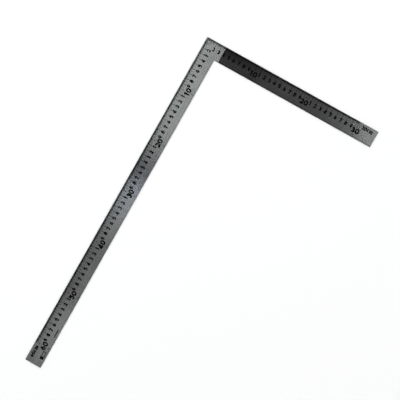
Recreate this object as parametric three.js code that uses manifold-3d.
// Steel square: a long and a short flat steel blade, butt welded into a right angle.
// It lies flat with its graduated face up. Millimetres: X runs along the long blade, Y along the
// short blade, Z up. The origin is on the underside, where the blades' centre lines cross.
import * as THREE from "three";
import { mergeVertices } from "three/addons/utils/BufferGeometryUtils.js";
import Module from "manifold-3d";

// Driving dimensions
const BLADE_WIDTH = 30;
const BLADE_THICKNESS = 1.5;
const LONG_SCALE = 600; // both scales read from the outer corner
const SHORT_SCALE = 300;
const BLANK_END = 36; // plain steel past the end of each scale
const STUB_LENGTH = 7.5; // how far the long blade's blank reaches past the inner corner
const WELD_WIDTH = 0.6; // the bead, ground flush with both faces and both edges
const EDGE_CHAMFER = 0.2;
const HEEL_RADIUS = 0.3; // outer corner
const THROAT_RADIUS = 0.5; // inner corner
const END_RADIUS = 0.8; // free ends of the blades
const ARC_SEGMENTS = 3; // a quarter turn gets twice as many
const LINE_PITCH = 10; // the etched centimetre lines
const LINE_WIDTH = 0.3;
const LINE_LENGTH = 9.6;
const LINE_DEPTH = 0.06;
const LINE_MARGIN = 0.3; // bare steel between a line and the blade's outer edge

// Places worked out from them
const OUTER = -BLADE_WIDTH / 2;
const INNER = BLADE_WIDTH / 2;
const LONG_END = OUTER + LONG_SCALE + BLANK_END;
const SHORT_END = OUTER + SHORT_SCALE + BLANK_END;
const WELD_START = INNER + STUB_LENGTH - WELD_WIDTH / 2;
const WELD_END = WELD_START + WELD_WIDTH;

const wasm = await Module();
wasm.setup();

// Colours and finishes
const steel = (colour, roughness) =>
  new THREE.MeshStandardMaterial({ color: colour, metalness: 1, roughness });
const LONG_STEEL = steel(0x9aa09f, 0.34);
const SHORT_STEEL = steel(0x7b807f, 0.38);
const WELD_STEEL = steel(0x6f7274, 0.5);

// A closed outline through the corners, each turned with its own radius.
function roundedOutline(corners) {
  const shape = new THREE.Shape();
  corners.forEach(({ at, radius }, i) => {
    const before = corners[(i + corners.length - 1) % corners.length].at;
    const after = corners[(i + 1) % corners.length].at;
    const back = before.clone().sub(at).setLength(radius);
    const on = after.clone().sub(at).setLength(radius);
    const centre = at.clone().add(back).add(on);
    const start = on.clone().negate().angle();
    const end = back.clone().negate().angle();
    const clockwise = back.cross(on) > 0;
    shape.absarc(centre.x, centre.y, radius, start, end, clockwise);
  });
  shape.closePath();
  return shape;
}

function corner(x, y, radius) {
  return { at: new THREE.Vector2(x, y), radius };
}

// A closed geometry as a solid that can be cut.
function solidOf(geometry) {
  geometry.deleteAttribute("normal");
  geometry.deleteAttribute("uv");
  const merged = mergeVertices(geometry, 1e-4);
  return new wasm.Manifold(
    new wasm.Mesh({
      numProp: 3,
      vertProperties: merged.attributes.position.array,
      triVerts: new Uint32Array(merged.index.array),
    }),
  );
}

function meshOf(name, solid, material) {
  const { vertProperties, triVerts } = solid.getMesh();
  const geometry = new THREE.BufferGeometry();
  geometry.setAttribute("position", new THREE.BufferAttribute(vertProperties, 3));
  geometry.setIndex(new THREE.BufferAttribute(triVerts, 1));
  const flat = geometry.toNonIndexed();
  flat.computeVertexNormals();
  const mesh = new THREE.Mesh(flat, material);
  mesh.name = name;
  return mesh;
}

// The finished L-shaped plate with a chamfer round both faces, before it is told apart into pieces.
function wholePlate() {
  const outline = roundedOutline([
    corner(OUTER, OUTER, HEEL_RADIUS),
    corner(LONG_END, OUTER, END_RADIUS),
    corner(LONG_END, INNER, END_RADIUS),
    corner(INNER, INNER, THROAT_RADIUS),
    corner(INNER, SHORT_END, END_RADIUS),
    corner(OUTER, SHORT_END, END_RADIUS),
  ]);
  const geometry = new THREE.ExtrudeGeometry(outline, {
    depth: BLADE_THICKNESS - 2 * EDGE_CHAMFER,
    bevelThickness: EDGE_CHAMFER,
    bevelSize: EDGE_CHAMFER,
    bevelOffset: -EDGE_CHAMFER,
    bevelSegments: 1,
    curveSegments: ARC_SEGMENTS,
  });
  geometry.translate(0, 0, EDGE_CHAMFER);
  return solidOf(geometry);
}

// A block that takes in everything between two places along the short blade.
function slab(fromY, toY) {
  const reach = 2 * (LONG_SCALE + BLANK_END);
  const geometry = new THREE.BoxGeometry(reach, toY - fromY, 4 * BLADE_THICKNESS);
  geometry.translate(0, (fromY + toY) / 2, 0);
  return solidOf(geometry);
}

// The etched line at a distance from the outer corner, as the block that it takes out of the face.
function lineBlock(distance, along) {
  const geometry = new THREE.BoxGeometry(LINE_WIDTH, LINE_LENGTH, 2 * LINE_DEPTH);
  const place = OUTER + distance;
  const middle = OUTER + LINE_MARGIN + LINE_LENGTH / 2;
  if (along === "x") {
    geometry.translate(place, middle, BLADE_THICKNESS);
  } else {
    geometry.rotateZ(Math.PI / 2);
    geometry.translate(middle, place, BLADE_THICKNESS);
  }
  return solidOf(geometry);
}

function etchedPlate() {
  let plate = wholePlate();
  for (let d = LINE_PITCH; d <= LONG_SCALE; d += LINE_PITCH) {
    plate = plate.subtract(lineBlock(d, "x"));
  }
  for (let d = LINE_PITCH; d <= SHORT_SCALE; d += LINE_PITCH) {
    plate = plate.subtract(lineBlock(d, "y"));
  }
  return plate;
}

const plate = etchedPlate();
const below = OUTER - BLADE_WIDTH;
const beyond = SHORT_END + BLADE_WIDTH;

const square = new THREE.Group();
square.name = "steel_square";
square.add(
  meshOf("long_blade", plate.intersect(slab(below, WELD_START)), LONG_STEEL),
  meshOf("corner_weld", plate.intersect(slab(WELD_START, WELD_END)), WELD_STEEL),
  meshOf("short_blade", plate.intersect(slab(WELD_END, beyond)), SHORT_STEEL),
);

export default square;
